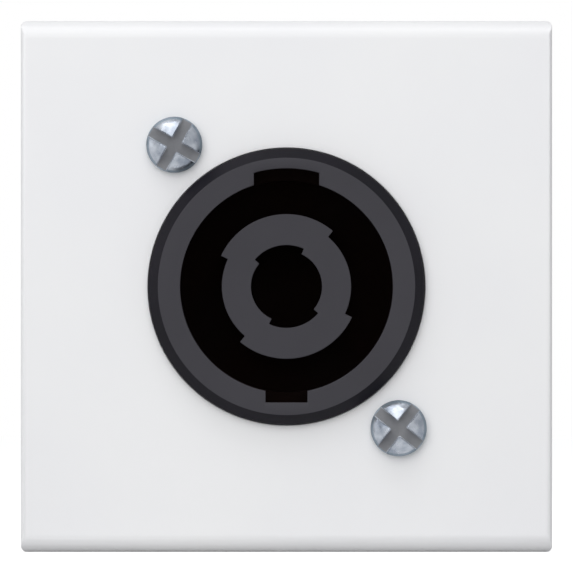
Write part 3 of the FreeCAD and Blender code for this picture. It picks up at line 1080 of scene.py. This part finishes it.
def makeNuts():
    look = nutSize
    height = look["height"]
    corner = look["acrossFlats"] / 2 / math.cos(math.radians(30))
    bevel = corner - look["acrossFlats"] / 2
    extra = 0.1 * corner
    nut = turnTo(turned("nut", [(corner, 0), (corner, height)], 6), 30)
    wide = corner + extra
    outline = [(wide, -past), (wide, height - bevel - extra), (corner - bevel, height)]
    keepInside(nut, turned("rounding", outline, 96))
    bore = fixingScrew["radius"] + threadGap
    cut(nut, turned("bore", [(bore, -past), (bore, height + past)], 64))
    softenEdges(nut, look["softEdge"], 40, lambda middle: min(middle.y, height - middle.y) < 0.001 * mm)
    turnTo(nut, fixingBearing + 30)
    for name, side in screwSides:
        piece = atFixing(copyOf(nut, "hex_nut_" + name), flangeBack + washerSize["thickness"], side)
        finishPiece(piece, "nut_" + name, "nut_steel", zincPlate, smoothTo=30)
    bpy.data.objects.remove(nut)
    print("nuts ready")


makePlate()
makeHousing()
makeContacts()
makeTerminals()
makeCarrier()
makeFixingScrews()
makeWashers()
makeNuts()


# Floor, light and camera

stageLook = {
    "floorSize": 2.4,
    "floorColour": (0.57, 0.57, 0.57, 1.0),
    "floorGlow": 0.77,
    "fill": 0.38,
    "fillColour": (0.97, 0.985, 1.0, 1.0),
}
# each lamp: where it stands seen from the object, how far, how wide, and how much light it gives
lamps = {
    "key lamp": {
        "towards": (-0.19, -0.87, 0.41),
        "distance": 0.6,
        "size": (0.7, 0.7),
        "level": 0.735,
    },
    "overhead lamp": {
        "towards": (-0.12, -0.36, 0.92),
        "distance": 0.6,
        "size": (0.54, 0.21),
        "level": 0.27,
    },
    "side strip": {
        "towards": (-0.97, -0.15, 0.18),
        "distance": 0.7,
        "size": (0.1, 0.5),
        "level": 0.06,
    },
}


def seenDirectly(nodes, links):
    # 1 for camera, glossy and transmission rays, 0 for the rays that light the object
    path = nodes.new("ShaderNodeLightPath")
    cameraOrGlossy = nodes.new("ShaderNodeMath")
    either = nodes.new("ShaderNodeMath")
    cameraOrGlossy.operation = "MAXIMUM"
    either.operation = "MAXIMUM"
    links.new(path.outputs["Is Camera Ray"], cameraOrGlossy.inputs[0])
    links.new(path.outputs["Is Glossy Ray"], cameraOrGlossy.inputs[1])
    links.new(cameraOrGlossy.outputs[0], either.inputs[0])
    links.new(path.outputs["Is Transmission Ray"], either.inputs[1])
    return either.outputs[0]


def makeWorld():
    world = bpy.data.worlds.new("studio")
    bpy.context.scene.world = world
    world.use_nodes = True
    nodes, links = world.node_tree.nodes, world.node_tree.links
    fill = nodes["Background"]
    fill.inputs["Color"].default_value = stageLook["fillColour"]
    fill.inputs["Strength"].default_value = stageLook["fill"]
    white = nodes.new("ShaderNodeBackground")
    white.inputs["Color"].default_value = (1, 1, 1, 1)
    white.inputs["Strength"].default_value = 1.0
    mix = nodes.new("ShaderNodeMixShader")
    links.new(seenDirectly(nodes, links), mix.inputs["Fac"])
    links.new(fill.outputs["Background"], mix.inputs[1])
    links.new(white.outputs["Background"], mix.inputs[2])
    links.new(mix.outputs["Shader"], nodes["World Output"].inputs["Surface"])


def makeFloor():
    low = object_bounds()[0].z
    bpy.ops.mesh.primitive_plane_add(size=stageLook["floorSize"], location=(0, 0, low))
    floor = bpy.context.object
    floor.name = "floor"
    material = bpy.data.materials.new("pale floor")
    material.use_nodes = True
    nodes, links = material.node_tree.nodes, material.node_tree.links
    nodes.remove(nodes["Principled BSDF"])
    paint = nodes.new("ShaderNodeBsdfDiffuse")
    paint.inputs["Color"].default_value = stageLook["floorColour"]
    glow = nodes.new("ShaderNodeEmission")
    level = nodes.new("ShaderNodeMath")
    level.operation = "MULTIPLY"
    level.inputs[1].default_value = stageLook["floorGlow"]
    add = nodes.new("ShaderNodeAddShader")
    links.new(seenDirectly(nodes, links), level.inputs[0])
    links.new(level.outputs[0], glow.inputs["Strength"])
    links.new(paint.outputs["BSDF"], add.inputs[0])
    links.new(glow.outputs["Emission"], add.inputs[1])
    links.new(add.outputs["Shader"], nodes["Material Output"].inputs["Surface"])
    floor.data.materials.append(material)
    bpy.ops.object.select_all(action="DESELECT")


def makeLamps():
    for name, look in lamps.items():
        towards = Vector(look["towards"]).normalized()
        bpy.ops.object.light_add(type="AREA", location=towards * look["distance"])
        lamp = bpy.context.object
        lamp.name = name
        lamp.data.shape = "RECTANGLE"
        lamp.data.size, lamp.data.size_y = look["size"]
        lamp.data.energy = look["level"] * (math.pi * look["distance"]) ** 2
        lamp.rotation_euler = towards.to_track_quat("Z", "Y").to_euler()
    bpy.ops.object.select_all(action="DESELECT")


# The photo shows the plate 531.3 of 573 pixels wide, square on, with no perspective to speak of
cameraLook = {
    "plateWidth": 45.0 * mm,
    "platePixels": 531.3,
    "framePixels": 573,
    "plateFront": 1.5 * mm,
    "lens": 1200.0,
    "sensor": 36.0,
}


def makeCamera():
    bpy.ops.object.camera_add()
    camera = bpy.context.object
    camera.name = "camera"
    look = cameraLook
    camera.data.lens = look["lens"]
    camera.data.sensor_width = look["sensor"]
    seen = look["plateWidth"] * look["framePixels"] / look["platePixels"]
    distance = seen * look["lens"] / look["sensor"]
    camera.location = (0, look["plateFront"] - distance, 0)
    camera.rotation_euler = (math.radians(90), 0, 0)
    camera.data.clip_end = 20.0
    bpy.context.scene.camera = camera
    bpy.ops.object.select_all(action="DESELECT")


makeWorld()
makeFloor()
makeLamps()
makeCamera()
bpy.context.scene.view_settings.view_transform = "Standard"
print("stage ready")
